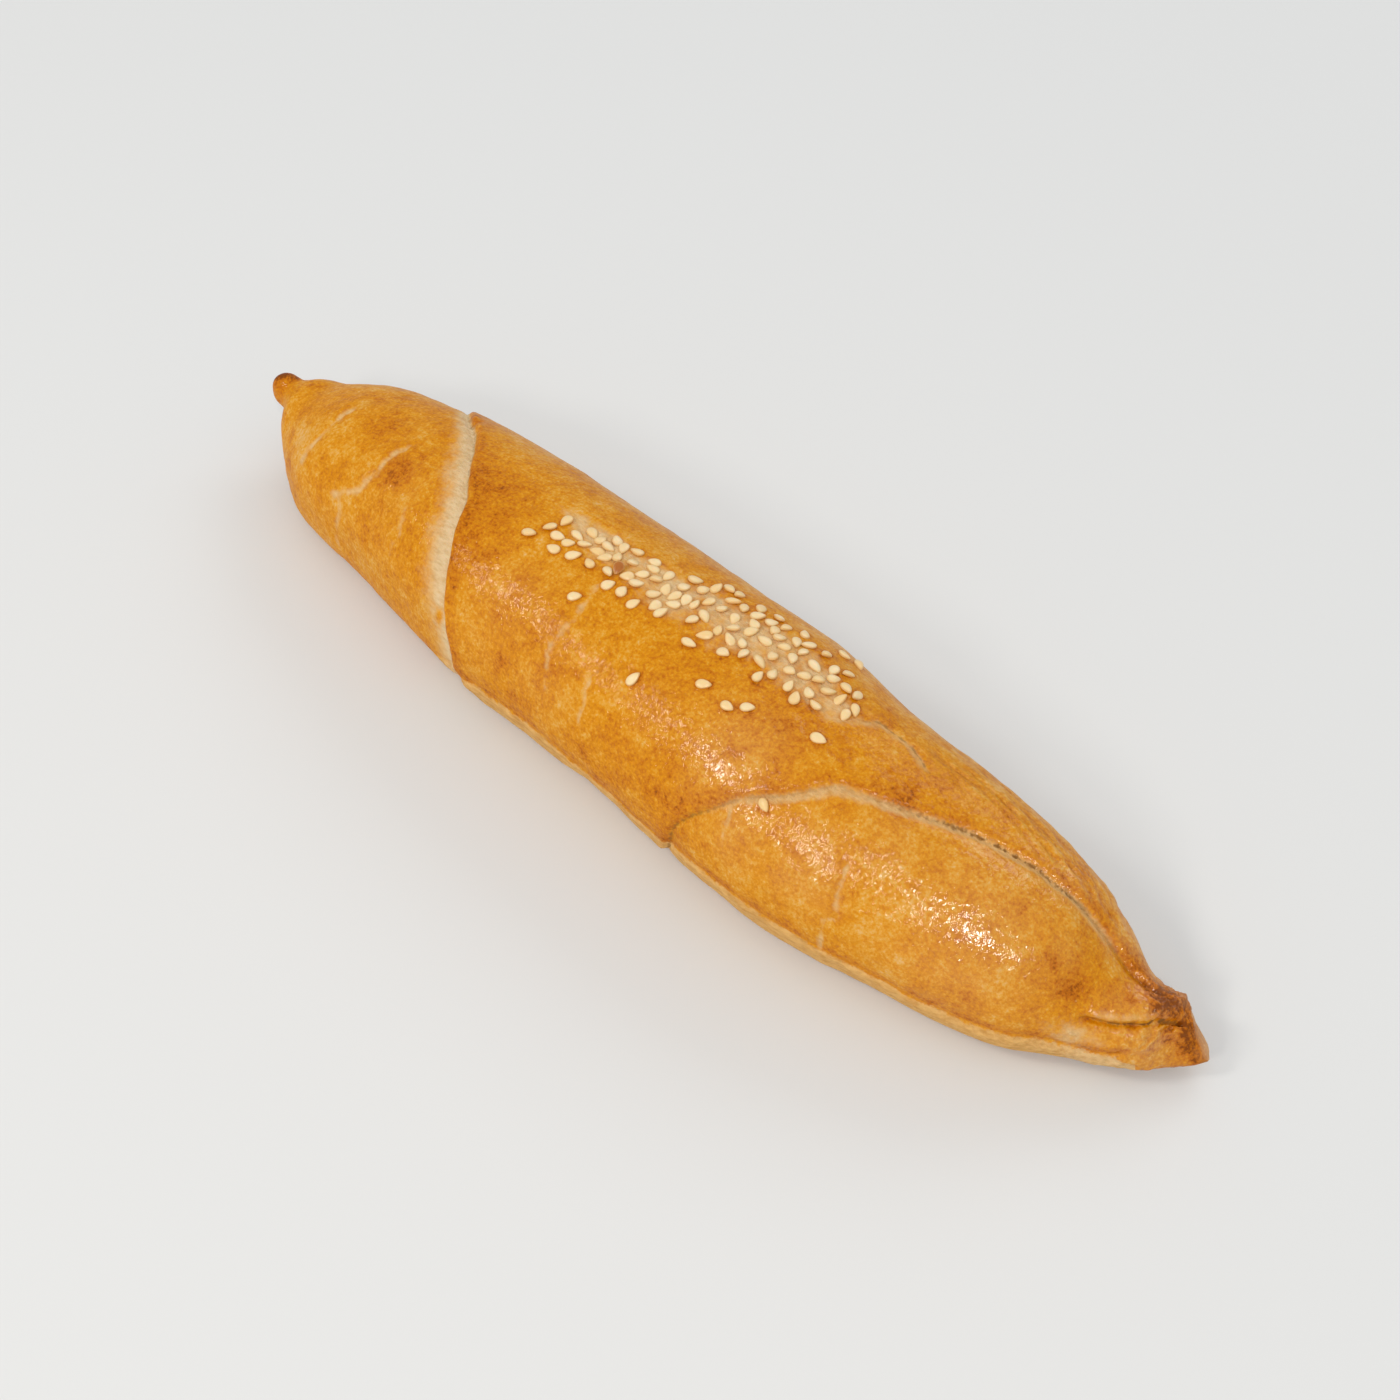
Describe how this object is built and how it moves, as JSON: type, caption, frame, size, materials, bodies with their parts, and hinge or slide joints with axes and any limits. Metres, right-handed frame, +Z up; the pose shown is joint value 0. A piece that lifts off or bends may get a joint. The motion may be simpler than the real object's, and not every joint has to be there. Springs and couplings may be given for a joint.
{
  "type": "filled bread stick",
  "caption": "Baked filled bread stick with pinched ends, an overlapping wrapped crust and sesame seeds scattered along its crown.",
  "frame": {"origin": "on the surface that the stick lies on, under the middle of its bounding box", "axes": "+X along the stick, from its blunt cone end to its pinched beak end; +Z up"},
  "size_m": [0.24, 0.0552, 0.0376],
  "materials": {
    "crust": "baked dough crust under a glossy egg wash, golden to brown",
    "sesame": "hulled sesame seed, lightly toasted ivory, satin"
  },
  "bodies": {
    "root": {"bread_stick": "crust", "sesame_seed_01": "sesame", "sesame_seed_02": "sesame", "sesame_seed_03": "sesame", "sesame_seed_04": "sesame", "sesame_seed_05": "sesame", "sesame_seed_06": "sesame", "sesame_seed_07": "sesame", "sesame_seed_08": "sesame", "sesame_seed_09": "sesame", "sesame_seed_10": "sesame", "sesame_seed_11": "sesame", "sesame_seed_12": "sesame", "sesame_seed_13": "sesame", "sesame_seed_14": "sesame", "sesame_seed_15": "sesame", "sesame_seed_16": "sesame", "sesame_seed_17": "sesame", "sesame_seed_18": "sesame", "sesame_seed_19": "sesame", "sesame_seed_20": "sesame", "sesame_seed_21": "sesame", "sesame_seed_22": "sesame", "sesame_seed_23": "sesame", "sesame_seed_24": "sesame", "sesame_seed_25": "sesame", "sesame_seed_26": "sesame", "sesame_seed_27": "sesame", "sesame_seed_28": "sesame", "sesame_seed_29": "sesame", "sesame_seed_30": "sesame", "sesame_seed_31": "sesame", "sesame_seed_32": "sesame", "sesame_seed_33": "sesame", "sesame_seed_34": "sesame", "sesame_seed_35": "sesame", "sesame_seed_36": "sesame", "sesame_seed_37": "sesame", "sesame_seed_38": "sesame", "sesame_seed_39": "sesame", "sesame_seed_40": "sesame", "sesame_seed_41": "sesame", "sesame_seed_42": "sesame", "sesame_seed_43": "sesame", "sesame_seed_44": "sesame", "sesame_seed_45": "sesame", "sesame_seed_46": "sesame", "sesame_seed_47": "sesame", "sesame_seed_48": "sesame", "sesame_seed_49": "sesame", "sesame_seed_50": "sesame", "sesame_seed_51": "sesame", "sesame_seed_52": "sesame", "sesame_seed_53": "sesame", "sesame_seed_54": "sesame", "sesame_seed_55": "sesame", "sesame_seed_56": "sesame", "sesame_seed_57": "sesame", "sesame_seed_58": "sesame", "sesame_seed_59": "sesame"}
  },
  "joints": []
}
